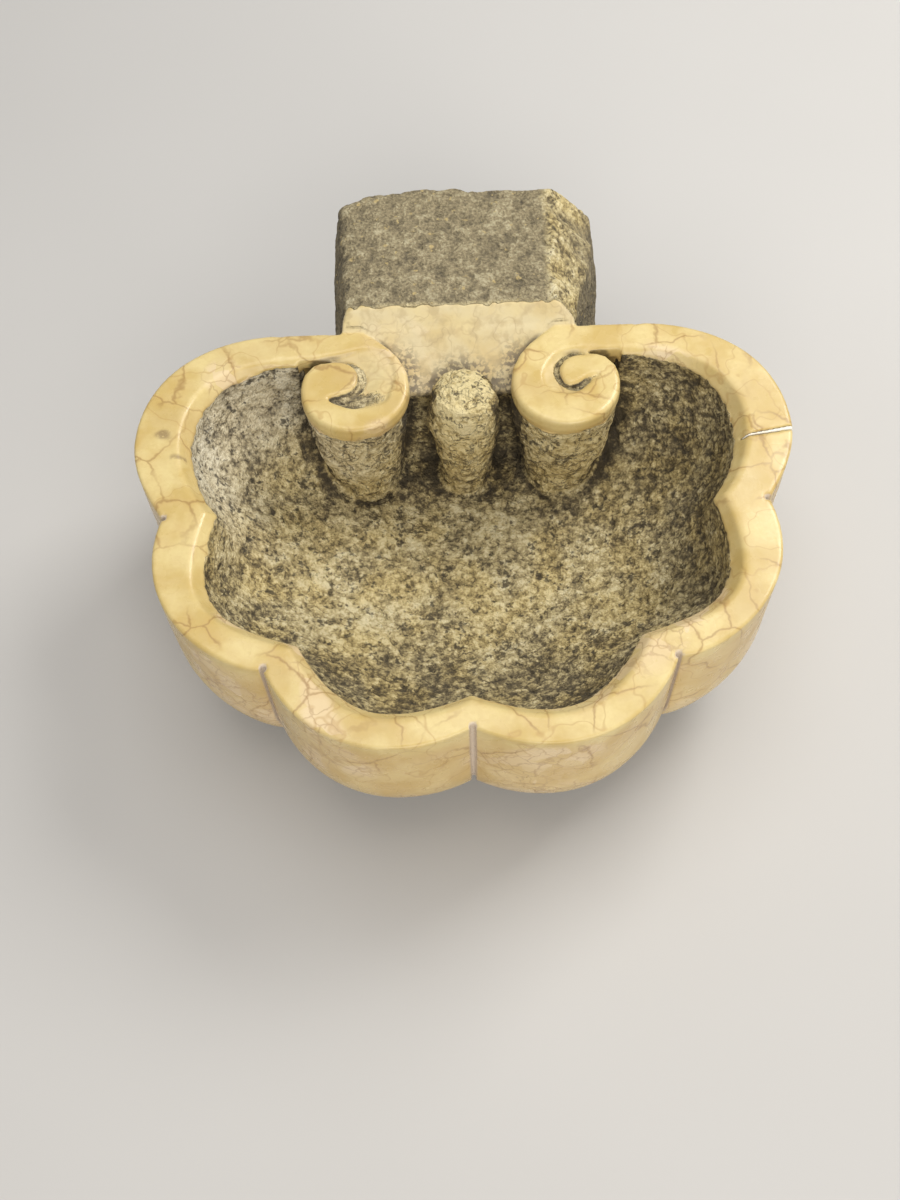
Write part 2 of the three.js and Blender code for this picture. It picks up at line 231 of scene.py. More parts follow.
class Outline:
    """Signed distance to a closed outline in plan, negative inside, kept in a grid."""

    def __init__(self, points, pitch=1.0, margin=14.0, low_x=None):
        points = np.asarray(points, float)
        self.pitch = pitch
        self.low = points.min(0) - margin
        if low_x is not None:
            self.low[0] = low_x
        self.count = np.ceil((points.max(0) + margin - self.low) / pitch).astype(int) + 1
        x, y = (self.low[i] + pitch * np.arange(self.count[i]) for i in (0, 1))
        x, y = np.meshgrid(x, y, indexing="ij")
        nearest = np.full(x.shape, 1e9)
        inside = np.zeros(x.shape, bool)
        for a, b in zip(points, np.roll(points, -1, 0)):
            run = b - a
            length2 = run @ run
            if length2 < 1e-12:
                continue
            along = np.clip(((x - a[0]) * run[0] + (y - a[1]) * run[1]) / length2, 0, 1)
            off_x, off_y = x - a[0] - along * run[0], y - a[1] - along * run[1]
            nearest = np.minimum(nearest, off_x ** 2 + off_y ** 2)
            if a[1] != b[1]:
                crossing = (a[1] > y) != (b[1] > y)
                inside ^= crossing & (x < a[0] + (y - a[1]) * run[0] / run[1])
        self.grid = (np.sqrt(nearest) * np.where(inside, -1, 1)).astype(np.float32)

    def __call__(self, x, y):
        u, v = (x - self.low[0]) / self.pitch, (y - self.low[1]) / self.pitch
        inner_u, inner_v = np.clip(u, 0, self.count[0] - 1.001), np.clip(v, 0, self.count[1] - 1.001)
        i, j = inner_u.astype(np.int32), inner_v.astype(np.int32)
        s, t = inner_u - i, inner_v - j
        front = self.grid[i, j] * (1 - s) + self.grid[i + 1, j] * s
        back = self.grid[i, j + 1] * (1 - s) + self.grid[i + 1, j + 1] * s
        return front * (1 - t) + back * t + self.pitch * np.hypot(u - inner_u, v - inner_v)


class Noise:
    """Smooth value noise from -1 to 1 that repeats after CELLS cells."""

    CELLS = 32

    def __init__(self, seed):
        values = np.random.default_rng(seed).uniform(-1, 1, (self.CELLS,) * 3)
        self.table = values.astype(np.float32)

    def __call__(self, points, size):
        q = points / np.float32(size)
        cell = np.floor(q)
        f = q - cell
        f = f * f * (3 - 2 * f)
        i = cell.astype(np.int64) % self.CELLS
        j = (i + 1) % self.CELLS
        total = 0
        for dx, wx in ((i[:, 0], 1 - f[:, 0]), (j[:, 0], f[:, 0])):
            for dy, wy in ((i[:, 1], 1 - f[:, 1]), (j[:, 1], f[:, 1])):
                for dz, wz in ((i[:, 2], 1 - f[:, 2]), (j[:, 2], f[:, 2])):
                    total = total + self.table[dx, dy, dz] * wx * wy * wz
        return total


def head_outline():
    """A volute head from above: the rim band, then round the scroll and back in behind it."""
    past_end, past_back = HEAD_END + HEAD_OVERRUN, BASIN_DEPTH + HEAD_BEHIND
    band = [(past_end, past_back), (BAND_START, past_back), (BAND_START, BASIN_DEPTH)]
    angles = [*HEAD_TURNS[:5], *range(180, 381, 10), *HEAD_TURNS[7:]]
    reaches = np.interp(angles, HEAD_TURNS, HEAD_REACHES)
    turns = np.radians(angles)
    scroll = np.stack([SCROLL_X + reaches * np.cos(turns), SCROLL_Y + reaches * np.sin(turns)], 1)
    inner = [(HEAD_INNER_X, BACK_WALL), (past_end, BACK_WALL)]
    return np.vstack([band, scroll, inner])


def reach_table(outline, focus_y):
    """How far the outline lies from the focus, over the angle from the back."""
    dx, dy = outline[:, 0], outline[:, 1] - focus_y
    half = dx >= -1e-6
    angle, reach = np.arctan2(dx[half], dy[half]), np.hypot(dx, dy)[half]
    order = np.argsort(angle)
    return angle[order], reach[order]


def evened(values, angles, width):
    """The table's values averaged over a window of angles, for the lobes fading with depth."""
    fine = np.linspace(0, math.pi, 361)
    reach = np.interp(fine, angles, values)
    offsets = np.linspace(-width, width, 25)
    weights = 1 + np.cos(offsets / width * math.pi)
    folded = [np.interp(math.pi - abs(math.pi - abs(fine + o)), fine, reach) for o in offsets]
    return fine, np.average(folded, axis=0, weights=weights)


OUTER = Outline(mirrored_outline(OUTER_LOBES), low_x=-3)
INNER_POINTS = mirrored_outline(INNER_LOBES)
INNER = Outline(INNER_POINTS, low_x=-3)
HEAD = Outline(head_outline(), pitch=0.5, margin=30)
TURNS = {
    1: Outline(rounded_outline(RIGHT_TURN), pitch=0.4),
    -1: Outline(rounded_outline(LEFT_TURN), pitch=0.4),
}
BOWL_ANGLES, BOWL_REACH = reach_table(INNER_POINTS, BOWL_FOCUS_Y)
EVEN_ANGLES, EVEN_REACH = evened(BOWL_REACH, BOWL_ANGLES, LOBE_FADE)
CRACK_START = np.array([FILL_LOW[0], CRACK_START_Y])
CRACK_END = np.array([HALF_WIDTH + 2, CRACK_END_Y])


# ---------------------------------------------------------------- the field of the stone
def wall_curve(z):
    """How far down its curve the wall is, how much of the curve's run is left, and the outline's size."""
    t = np.clip((WALL_CURVE - z) / WALL_CURVE, 0.0, 0.99)
    bow = np.sqrt(1 - t * t)
    return t, bow, 1 - (1 - FOOT_SHARE) * (1 - bow)


def outer_wall(x, y, z):
    """Upright below the rim, then drawn in to the flat foot along a quarter ellipse."""
    t, bow, share = wall_curve(z)
    lean = (1 - FOOT_SHARE) * t / bow / WALL_CURVE * np.hypot(x, y - OUTER_FOCUS_Y)
    wall = share * OUTER(np.abs(x) / share, OUTER_FOCUS_Y + (y - OUTER_FOCUS_Y) / share)
    return wall / np.sqrt(1 + lean * lean)


def bowl_parts(x, y, z):
    """The rough hollow and the polished bevel of its edge, both negative in the air."""
    below = np.maximum(RIM_Z - z, 0.0)
    dx, dy = np.abs(x), y - BOWL_FOCUS_Y
    angle, run = np.arctan2(dx, dy), np.hypot(dx, dy) + 0.01
    lobed = np.interp(angle, BOWL_ANGLES, BOWL_REACH)
    even = np.interp(angle, EVEN_ANGLES, EVEN_REACH)
    reach = BOWL_MOUTH * blend_values(lobed, even, ramp(below, 12, 62))
    u, v = run / reach, below / BOWL_DEPTH
    total = u ** BOWL_POWER + v ** BOWL_POWER
    gauge = total ** (1 / BOWL_POWER)
    shrink = gauge / total
    slope = np.hypot(u ** (BOWL_POWER - 1) * shrink / reach, v ** (BOWL_POWER - 1) * shrink / BOWL_DEPTH)
    hollow = (gauge - 1) / slope
    bevel = (INNER(dx, y) + BEVEL_RUN * (RIM_Z - z)) / math.hypot(1, BEVEL_RUN)
    return hollow, np.maximum(bevel, RIM_Z - BEVEL_REACH - z)


def column_side(x, y, z):
    """The round sides of both volute columns, thickest under the head."""
    radius = FOOT_RADIUS * np.interp(RIM_Z - z, COLUMN_DEPTHS, COLUMN_SHARES)
    return np.hypot(np.abs(x) - SCROLL_X, y - SCROLL_Y) - radius


def column(x, y, z):
    """Both volute columns, up into their heads."""
    return np.maximum(column_side(x, y, z), z - RIM_Z + 6)


def head(x, y, z):
    """Both polished volute heads, with their share of the rim band."""
    return soft_max(HEAD(np.abs(x), y), RIM_Z - HEAD_SIDE - z, 4.0)


def bud_side(x, y, z):
    radius = BUD_RADIUS * np.interp(RIM_Z - z, BUD_DEPTHS, BUD_SHARES)
    return np.hypot(x - BUD_X, y - BUD_Y) - radius


def bud(x, y, z):
    """The column between the volutes, with its round top."""
    return soft_max(bud_side(x, y, z), z - BUD_TOP + 0.5, 9.0)


def shoulder(x, y, z):
    """Positive above the smooth face that runs down between the volutes."""
    return (z - RIM_Z - SHOULDER_SLOPE * (y - BASIN_DEPTH)) / math.hypot(1, SHOULDER_SLOPE)


def tenon(x, y, z):
    """A tapered block, wider to the right at the back, its right top edge broken off."""
    share = np.clip((z - TENON_FLOOR) / (TENON_TOP - TENON_FLOOR), 0, 1)
    back = np.clip((y - BASIN_DEPTH) / (TENON_BACK - BASIN_DEPTH), 0, 1)
    half = blend_values(TENON_HALF_BOTTOM, TENON_HALF_TOP, share ** TENON_BULGE)
    widen = TENON_WIDEN * ramp(back, 0.0, 0.8) * np.where(x > 0, 1.0, TENON_LEFT_SHARE)
    sides = np.abs(x) - half - widen + 1.0
    top = z - TENON_TOP + 1.0 + 1.2 * ramp(back, 0.85, 1.1) + 4.0 * ramp(-x, 50, 80)
    wave = 1.6 * np.sin(x / 17.0) + 1.1 * np.sin(x / 7.0 + 1.0) - 3.0 * ramp(-np.abs(x - 3), -12, 0)
    rear = y - TENON_BACK + 1.8 + 0.8 * wave + 7.0 * ramp(-x, 42, 72)
    bite = 1.5 * np.sin(y / 9.0) + np.sin(y / 4.0 + 2.0)
    broken = (x - TENON_BREAK + z - TENON_TOP + bite) * math.sqrt(0.5)
    block = soft_max(soft_max(sides, top, 5.0), soft_max(rear, TENON_FLOOR + 0.5 - z, 6.0), 3.0)
    block = soft_max(block, broken, 1.5)
    block = np.maximum(block, BASIN_DEPTH - TENON_LEAD - y)
    return soft_max(block, shoulder(x, y, z), 1.2)


def screen(x, y, z):
    """The stone that was left standing between the volutes."""
    depth = np.maximum(SCREEN_FRONT + 2.0 - y, y - BASIN_DEPTH)
    return np.maximum(np.maximum(np.abs(x) - SCREEN_HALF, depth), z - RIM_Z)


def scroll_turn(x, y, z):
    """Negative in the dark turn of each scroll, which slopes down to the foot of its eye:
    a narrow channel on the right and a wide worn hollow on the left."""
    side = np.where(x > 0, TURNS[1](x, y), TURNS[-1](-x, y))
    from_eye = np.hypot(np.abs(x) - EYE_X, y - EYE_Y)
    right = (4.0 - 3.3 * ramp(from_eye, 9.5, 20)) * (1 - 0.7 * ramp(x, 66, 76))
    depth = np.where(x > 0, right, 4.4 - 3.4 * ramp(from_eye, 9, 27))
    return soft_max(side, RIM_Z - depth - z, 2.0)


def cusp_grooves(x, y, z):
    """Negative in the upright grooves between the outer lobes."""
    share = wall_curve(z)[2]
    nearest = 1e3
    for cusp_x, cusp_y in CUSPS:
        away = math.hypot(cusp_x, cusp_y - OUTER_FOCUS_Y)
        out = (CUSP_GROOVE_RADIUS - CUSP_GROOVE_DEPTH) / away
        centre_x = cusp_x * (share + out)
        centre_y = OUTER_FOCUS_Y + (cusp_y - OUTER_FOCUS_Y) * (share + out)
        gap = np.hypot(np.abs(x) - centre_x, y - centre_y) - CUSP_GROOVE_RADIUS
        nearest = np.minimum(nearest, gap)
    return nearest


def crack(x, y, z, clearance=0.0):
    """Negative in the slot of the repaired crack, or in its filler."""
    run = CRACK_END - CRACK_START
    share = np.clip((x - CRACK_START[0]) / run[0], 0, 1)
    half = blend_values(CRACK_HALVES[0], CRACK_HALVES[1], share) + clearance
    across = np.abs(y - CRACK_START[1] - run[1] * share) - half
    return np.maximum(np.maximum(across, CRACK_START[0] - x), FILL_LOW[2] - clearance - z)


def carving(x, y, z):
    """The whole stone without its crack, negative inside."""
    hollow, bevel = bowl_parts(x, y, z)
    body = np.maximum(outer_wall(x, y, z), -soft_min(hollow, bevel, 1.0))
    body = soft_min(body, screen(x, y, z), 4.0)
    above = np.maximum(-shoulder(x, y, z), np.abs(x) - SHOULDER_HALF)
    above = np.maximum(above, SHOULDER_START - y)
    body = soft_max(body, -above, 1.0)
    body = soft_max(body, -cusp_grooves(x, y, z), 0.8)
    body = soft_min(body, column(x, y, z), FILLET)
    body = soft_min(body, bud(x, y, z), 4.0)
    body = soft_min(body, np.maximum(head(x, y, z), y - BASIN_DEPTH), 1.5)
    body = soft_max(body, -scroll_turn(x, y, z), 1.2)
    rim = np.where(np.hypot(x - BUD_X, y - BUD_Y) < BUD_RADIUS + 3, BUD_TOP, RIM_Z)
    edge = blend_values(RIM_EDGE, HEAD_EDGE, ramp(-HEAD(np.abs(x), y), -8, -1))
    body = soft_max(body, z - rim, edge)
    body = soft_min(body, tenon(x, y, z), 2.0)
    return np.maximum(body, -z)


def stone(x, y, z):
    return np.maximum(carving(x, y, z), -crack(x, y, z, 0.2))


# ---------------------------------------------------------------- each node's share of the stone
def head_region(x, y, z):
    return np.maximum(HEAD(np.abs(x), y) - SEAM, RIM_Z - LEDGE - z)


def volute_region(x, y, z):
    around = np.maximum(column_side(x, y, z) - SEAM, y - BACK_WALL)
    return np.maximum(np.minimum(head_region(x, y, z), around), np.abs(x) - HEAD_END)


def bud_region(x, y, z):
    return np.maximum(bud_side(x, y, z) - SEAM, 30 - z)


def tenon_region(x, y, z):
    depth, upper = RIM_Z - TONGUE_DEPTH - z, RIM_Z - LEDGE - z
    lower_tongue = np.maximum(np.maximum(np.abs(x) - TONGUE_HALF, SCREEN_FRONT - y), depth)
    upper_tongue = np.maximum(np.maximum(np.abs(x) - TONGUE_UPPER_HALF, BACK_WALL - y), upper)
    tongue = np.maximum(np.minimum(lower_tongue, upper_tongue), -volute_region(x, y, z))
    return np.minimum(np.maximum(BASIN_DEPTH - y, np.abs(x) - SHOULDER_HALF - 40), tongue)


def basin_region(x, y, z):
    others = np.minimum(volute_region(x, y, z), tenon_region(x, y, z))
    return -np.minimum(others, bud_region(x, y, z))


def piece_field(region):
    """The share of the stone in a region. It runs on by LAP and sinks a little there,
    so that a neighbour's surface takes over without a step."""

    def field(x, y, z):
        r = region(x, y, z)
        over = np.clip(r, 0.0, LAP)
        return np.maximum(stone(x, y, z) + SINK * over * over / LAP, r - LAP)

    return field


def filler_field(x, y, z):
    return np.maximum(carving(x, y, z) + 0.05, crack(x, y, z))


# ---------------------------------------------------------------- from a field to a mesh
def sampled(field, low, high, pitch):
    """The field on a grid, one level at a time."""
    ends = zip(low - 2 * pitch, high + 3 * pitch)
    xs, ys, zs = (np.arange(start, end, pitch, dtype=np.float32) for start, end in ends)
    x, y = np.meshgrid(xs, ys, indexing="ij")
    levels = [field(x, y, z).astype(np.float32) for z in zs]
    return np.stack(levels, 2), np.array([xs[0], ys[0], zs[0]])


def surface_net(values, start, pitch):
    """One vertex in each cell that the surface crosses, one quad across each edge that it cuts."""
    inside = values < 0
    corners = [(i, j, k) for i in (0, 1) for j in (0, 1) for k in (0, 1)]
    size = np.array(values.shape) - 1

    def shifted(a, corner):
        return a[tuple(slice(c, c + n) for c, n in zip(corner, size))]

    count = sum(shifted(inside, c).astype(np.uint8) for c in corners)
    cells = np.argwhere((count > 0) & (count < 8))
    at = {c: values[tuple((cells + c).T)] for c in corners}
    total, crossings = np.zeros((len(cells), 3)), np.zeros(len(cells))
    for a in corners:
        for axis in range(3):
            if a[axis] == 0:
                b = tuple(1 if i == axis else a[i] for i in range(3))
                cut = (at[a] < 0) != (at[b] < 0)
                place = np.tile(np.array(a, float), (len(cells), 1))
                place[:, axis] = at[a] / np.where(cut, at[a] - at[b], 1)
                total[cut] += place[cut]
                crossings += cut
    points = start + pitch * (cells + total / crossings[:, None])
    index = np.full(tuple(size), -1, np.int32)
    index[tuple(cells.T)] = np.arange(len(cells))
    quads = []
    for axis in range(3):
        one, two = [(1, 2), (2, 0), (0, 1)][axis]
        step = np.eye(3, dtype=int)
        low_end = inside[tuple(slice(0, -1) if i == axis else slice(1, -1) for i in range(3))]
        high_end = inside[tuple(slice(1, None) if i == axis else slice(1, -1) for i in range(3))]
        where = np.argwhere(low_end != high_end) + 1 - step[axis]
        ring = [where - step[one] - step[two], where - step[two], where, where - step[one]]
        quad = np.stack([index[tuple(r.T)] for r in ring], 1)
        leaving = inside[tuple(where.T)]
        quad[~leaving] = quad[~leaving][:, ::-1]
        quads.append(quad)
    return points, np.vstack(quads)


def gradient(field, p, step=0.12):
    """The field and its gradient at the points."""
    base = field(p[:, 0], p[:, 1], p[:, 2])
    slopes = []
    for axis in range(3):
        q, r = p.copy(), p.copy()
        q[:, axis] += step
        r[:, axis] -= step
        slopes.append((field(*q.T) - field(*r.T)) / (2 * step))
    return base, np.stack(slopes, 1)


def relaxed(points, quads):
    """Each vertex at the average of its neighbours along the quads' edges."""
    total, count = np.zeros_like(points), np.zeros(len(points))
    for k in range(4):
        here, there = quads[:, k], quads[:, (k + 1) % 4]
        for a, b in ((here, there), (there, here)):
            for axis in range(3):
                total[:, axis] += np.bincount(a, points[b, axis], len(points))
            count += np.bincount(a, minlength=len(points))
    return total / count[:, None]


EVENING = 0.6  # share of the way that a vertex goes to its neighbours' average
LEAST_STEEPNESS = 0.09  # squared, so that a flat spot of the field doesn't throw a vertex far
LONGEST_MOVE = 0.7  # of the pitch
NORMAL_STEP = 0.35


def settled(field, points, quads, pitch):
    """The net evened out and moved onto the surface, with its normals."""
    points = blend_values(points, relaxed(points, quads), EVENING)
    for _ in range(2):
        value, slope = gradient(field, points)
        steep2 = np.maximum((slope * slope).sum(1), LEAST_STEEPNESS)
        move = -(value / steep2)[:, None] * slope
        length = np.linalg.norm(move, axis=1, keepdims=True)
        points = points + move * np.minimum(1, LONGEST_MOVE * pitch / np.maximum(length, 1e-6))
    _, slope = gradient(field, points, NORMAL_STEP)
    normals = slope / np.maximum(np.linalg.norm(slope, axis=1, keepdims=True), 1e-6)
    return points, normals


# ---------------------------------------------------------------- the marks of tools, dirt and wear
NOISES = [Noise(seed) for seed in range(11, 17)]
NEAR_REACH, FAR_REACH = 4.0, 16.0  # how far the two measures of openness look, in millimetres


def near_shoulder(x, y, z, reach, start):
    """On the smooth face between the volutes, within reach of it."""
    beside = np.abs(x) < SHOULDER_HALF + 2
    return (np.abs(shoulder(x, y, z)) < reach) * (y > SCREEN_FRONT - start) * beside


def rough_share(p, n):
    """0 on polished marble, 1 where the point chisel has been."""
    x, y, z = p.T
    hollow, bevel = bowl_parts(x, y, z)
    jag = NOISES[0](p, 5.0) * 1.3 + NOISES[1](p, 2.2) * 0.8
    inside = ramp(bevel - hollow + 0.6 * jag, -0.5, 1.2) * (INNER(np.abs(x), y) < 1.5) * (z < RIM_Z - 3)
    below = RIM_Z - z + 0.8 * jag
    on_head = ramp(-HEAD(np.abs(x), y), -2.5, -1.2) * ramp(-below, -HEAD_SIDE - 1.5, -HEAD_SIDE + 0.5)
    inside = inside * (1 - on_head)
    from_eye = np.hypot(np.abs(x) - EYE_X, y - EYE_Y)
    near_eye = 1 - ramp(from_eye, 11.5, 15)
    notch = ramp(-y, -224, -214)
    worn = ramp(-scroll_turn(x, y, z), -1.0, 0.2) * np.where(x > 0, near_eye, np.maximum(near_eye, notch))
    on_shoulder = near_shoulder(x, y, z, 2.5, 2)
    on_bud = ramp(-bud(x, y, z), -2.0, -0.5)
    inside = np.maximum(inside * (1 - 0.8 * on_shoulder * (1 - on_bud)), 0.9 * on_bud)
    tooth = 1.8 * NOISES[2](p * (1, 0.3, 0.3), 3.5) + 2.2 * NOISES[3](p, 9.0)
    on_tenon = ramp(y + tooth, CREST - 2.5, CREST - 0.5)
    side_of_tenon = (y > BASIN_DEPTH + 1) * (np.abs(shoulder(x, y, z)) > 2.5)
    back = ramp(y + 0.5 * jag, BASIN_DEPTH - 3.0, BASIN_DEPTH - 1.2) * (z < RIM_Z - 2.5)
    under = ramp(-n[:, 2], 0.9, 0.98)
    return np.max([inside, worn, on_tenon, side_of_tenon, 0.8 * back, 0.7 * under], axis=0)


def stains(p, n, rough):
    """Where the stone is weathered grey, yellowed, or lined with old mortar, and where shade is painted
    into its colour: inside the bowl at the right and the front, round and between the columns, on the
    flanks of the columns and the tenon, and in the notch of the left crescent; also where the column and
    bud fronts are painted lighter.
    """
    x, y, z = p.T
    wander = NOISES[0](p, 30.0) + 0.5 * NOISES[1](p, 14.0)
    weathered = ramp(y, CREST - 4, CREST + 2)
    broken = ramp(x - TENON_BREAK + z - TENON_TOP + 3 * wander, -7, 0) * weathered
    broken = broken * ramp(z + 10 * wander, TENON_TOP - 40, TENON_TOP - 18)
    depth = RIM_Z - z
    upper_left = ramp(-x, 20, 110) * ramp(-depth, -75, -30) * ramp(y, 120, 180)
    # Painted shade: the inside of the bowl darker on the right, most at the far right.
    right = ramp(x + 12 * wander, 60, 130) * ramp(-depth, -85, -45)
    right = right * (0.45 + ramp(x, 95, 135))
    # Painted shade: the inside of the bowl darker towards the front, and behind the right scroll.
    front = ramp(-y + 10 * wander, -115, -50)
    behind_right = ramp(x, 20, 60) * ramp(y, 150, 200) * 0.7
    # Painted shade on the bowl just round the backs of the columns.
    from_column = column(x, y, z)
    beside = ramp(from_column, 0.0, 2.0) * ramp(-from_column, -10, -3)
    beside = beside * ramp(y + 6 * wander, 196, 214) * ramp(depth, 18, 40)
    relief = np.minimum(from_column, bud(x, y, z))
    foot = ramp(-relief, -11, -1) * ramp(-y + 5 * wander, -204, -194) * ramp(depth, 62, 78)
    # The fronts of the columns and bud, painted lighter as painted light, and their flanks, painted darker
    # as painted shade.
    relief = ramp(-relief, -2.0, 0.0) * (1 - weathered)
    side = relief * ramp(np.abs(n[:, 0]), 0.6, 0.98)
    relief = relief * (1 - side)
    # Painted shade deep between the columns. All these marks of painted shade are gathered into one mask
    # that spares the column fronts, and the tenon's flanks are darkened in it too.
    between = ramp(-np.abs(x), -SCROLL_X, -SCROLL_X + 20) * ramp(y, 192, 206) * ramp(depth, 45, 70)
    painted_shade = np.max([right, 1.7 * front, behind_right, 2.0 * beside, 1.5 * between], axis=0)
    painted_shade = np.maximum(painted_shade * (1 - weathered) * (1 - relief), 1.5 * side)
    painted_shade = painted_shade + weathered * ramp(np.abs(n[:, 0]), 0.5, 0.85)
    turn = ramp(-scroll_turn(x, y, z), -1.5, 0.2)
    face = near_shoulder(x, y, z, 3.0, 3)
    face = face * (1 - weathered) * ramp(bud(x, y, z), 0.3, 2.0)
    face = face * (1 - ramp(-HEAD(np.abs(x), y), -1.0, 0.5) * (y < BASIN_DEPTH))
    face = np.maximum(face, turn * np.where(x > 0, 0.35, 0.6) * (1 - rough))
    on_bud = ramp(-bud(x, y, z), -2.0, -0.5) * ramp(z, RIM_Z - 42 + 8 * wander, RIM_Z - 26 + 8 * wander)
    crescent = turn * (x < 0)
    # Painted shade in the lower notch of the left crescent.
    notch_shade = crescent * ramp(-y, -228, -216) * ramp(-x, 44, 54)
    painted_shade = np.maximum(painted_shade, 2.0 * notch_shade)
    worn = np.max([on_bud, 0.6 * foot, 0.75 * crescent * (1 - notch_shade)], axis=0)
    mortar = ramp(-cusp_grooves(x, y, z), -0.9, -0.3) * (y < BASIN_DEPTH)
    bleached = np.maximum(upper_left, 0.4 * crescent)
    ragged = 4.0 * NOISES[4](p, 4.5) + 1.5 * wander
    chip = sum(ramp(-np.hypot(x - cx, 1.4 * (y - cy)) + ragged, -r, -0.3 * r) for cx, cy, r in RIM_STAINS)
    return {
        "weathered": weathered * (1 - broken),
        "bleached": bleached,
        "painted_shade": painted_shade,
        "mortar": mortar,
        "shoulder": face,
        "worn": np.maximum(worn, 0.25 * broken),
        "soil_and_shade": np.clip(chip, 0, 1),
        "relief": relief,
    }


def openness(field, p, n, reach):
    """1 in the open, near 0 deep in a crevice."""
    q = p + n * reach
    return np.clip(field(*q.T) / reach, 0, 1)


def tool_marks(p, n, rough):
    """How far the surface stands proud, in mm, and how high each peck lies, roughly from -1 to 1."""
    warp = p + 1.3 * np.stack([NOISES[k](p, 7.0) for k in range(3)], 1)
    facets = NOISES[3](p, 12.0)
    pecks = NOISES[4](warp, 4.2)
    grain = NOISES[5](warp, 2.3)
    height = 0.6 * pecks + 0.6 * grain
    pits = -np.maximum(-height - 0.05, 0)
    proud = 0.45 * facets + 0.35 * pecks + 0.3 * grain + 0.9 * pits
    on_tenon = ramp(p[:, 1], BASIN_DEPTH + 6, BASIN_DEPTH + 16)
    on_relief = ramp(-np.minimum(bud(*p.T), column(*p.T)), -3.0, -0.5) * (1 - on_tenon)
    heavy = on_tenon * (0.9 * NOISES[0](p, 22.0) + 0.5 * NOISES[1](p, 9.0) - 0.3 * proud)
    lumps = on_relief * (1.5 * NOISES[0](p, 17.0) + 1.1 * NOISES[1](p, 8.0))
    swell = 0.3 * NOISES[2](p, 34.0) * (1 - rough)
    hollows = (1 - on_tenon) * (1 - on_relief) * 1.1 * NOISES[1](p * (1, 1.6, 1), 24.0)
    return rough * (1.25 * proud + heavy + lumps + hollows - 0.4) + swell, height


# ---------------------------------------------------------------- pieces
def mesh_object(name, points, quads, attributes):
    mesh = bpy.data.meshes.new(name)
    placed = (points + (0, ORIGIN_Y, 0)) * MM
    mesh.vertices.add(len(placed))
    mesh.vertices.foreach_set("co", placed.astype(np.float32).ravel())
    mesh.loops.add(quads.size)
    mesh.loops.foreach_set("vertex_index", quads.astype(np.int32).ravel())
    mesh.polygons.add(len(quads))
    mesh.polygons.foreach_set("loop_start", np.arange(0, quads.size, 4, dtype=np.int32))
    mesh.update(calc_edges=True)
    mesh.validate()
    mesh.polygons.foreach_set("use_smooth", np.ones(len(mesh.polygons), bool))
    for key, values in attributes.items():
        layer = mesh.attributes.new(key, "FLOAT", "POINT")
        layer.data.foreach_set("value", values.astype(np.float32))
    obj = bpy.data.objects.new(name, mesh)
    bpy.context.scene.collection.objects.link(obj)
    return obj


def clipped(points):
    """The points kept inside the CAD box."""
    low = np.array(CAD_BOX[0]) / MM - (0, ORIGIN_Y, 0) + BOX_MARGIN
    high = np.array(CAD_BOX[1]) / MM - (0, ORIGIN_Y, 0) - BOX_MARGIN
    return np.clip(points, low, high)


def carved_piece(name, node, field, low, high, pitch, material, slot):
    """A piece of the stone as a mesh that stands for its CAD node."""
    points, quads = surface_net(*sampled(field, low, high, pitch), pitch)
    points, normals = settled(field, points, quads, pitch)
    rough = rough_share(points, normals)
    proud, peck = tool_marks(points, normals, rough)
    marks = {
        "rough": rough,
        "peck": peck,
        "near_open": openness(stone, points, normals, NEAR_REACH),
        "far_open": openness(stone, points, normals, FAR_REACH),
        **stains(points, normals, rough),
    }
    obj = mesh_object(name, clipped(points + normals * proud[:, None]), quads, marks)
    obj.data.materials.append(material)
    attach(obj, "root")
    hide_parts(node)
    return obj


# ---------------------------------------------------------------- materials
# Colours as linear red, green and blue.
HONEY = (0.57, 0.415, 0.145)
CREAM = (0.71, 0.575, 0.265)
DULL_CREAM = (0.56, 0.425, 0.205)
MOTTLED_HONEY = (0.61, 0.455, 0.20)
SPECK_BROWN = (0.52, 0.38, 0.15)
# painted reflection: rose light bounced onto the walls
PAINTED_BOUNCE_ROSE = (0.60, 0.39, 0.17)
SHARD_PALE = (0.74, 0.58, 0.36)
VEIN_HALO = (0.55, 0.34, 0.10)
VEIN_FAINT = (0.44, 0.27, 0.09)
VEIN_SMALL = (0.36, 0.22, 0.10)
VEIN_MAIN = (0.30, 0.165, 0.055)
RIM_DIRT = (0.20, 0.125, 0.065)
OCHRE_TINT = (1.0, 0.92, 0.68)
PIT_DARK = (0.060, 0.048, 0.030)
LICHEN = (0.56, 0.43, 0.19)
SHOULDER_PALE = (0.66, 0.565, 0.345)
SHOULDER_TAN = (0.47, 0.365, 0.19)
SHOULDER_LINE = (0.34, 0.23, 0.12)
# painted shade on the smooth face
SHOULDER_SHADE = (0.20, 0.165, 0.115)
# painted shade in crevices
CREVICE_SHADE = (0.085, 0.065, 0.04)
MORTAR_PALE = (0.68, 0.58, 0.47)
FILLER_WHITE = (0.81, 0.77, 0.67)
FILLER_STAIN = (0.62, 0.53, 0.38)
FLOOR_GREY = (0.52, 0.51, 0.495)
FLOOR_PALE = (0.56, 0.55, 0.535)
PECKED_STOPS = [  # from the pits to the high points of the chiselled stone
    (0.0, (0.070, 0.056, 0.034)),
    (0.25, (0.175, 0.140, 0.078)),
    (0.5, (0.36, 0.295, 0.155)),
    (0.75, (0.55, 0.46, 0.255)),
    (1.0, (0.74, 0.66, 0.43)),
]
WEATHERED_STOPS = [
    (0.0, (0.075, 0.064, 0.045)),
    (0.4, (0.20, 0.165, 0.098)),
    (0.7, (0.32, 0.265, 0.155)),
    (1.0, (0.52, 0.46, 0.30)),
]
WORKED_ROUGHNESS = 0.88
POLISHED_GRAIN = 0.012  # height of the grain on the polish, against 1 on worked stone
BUMP_MM, FILLER_BUMP_MM = 2.1, 0.2


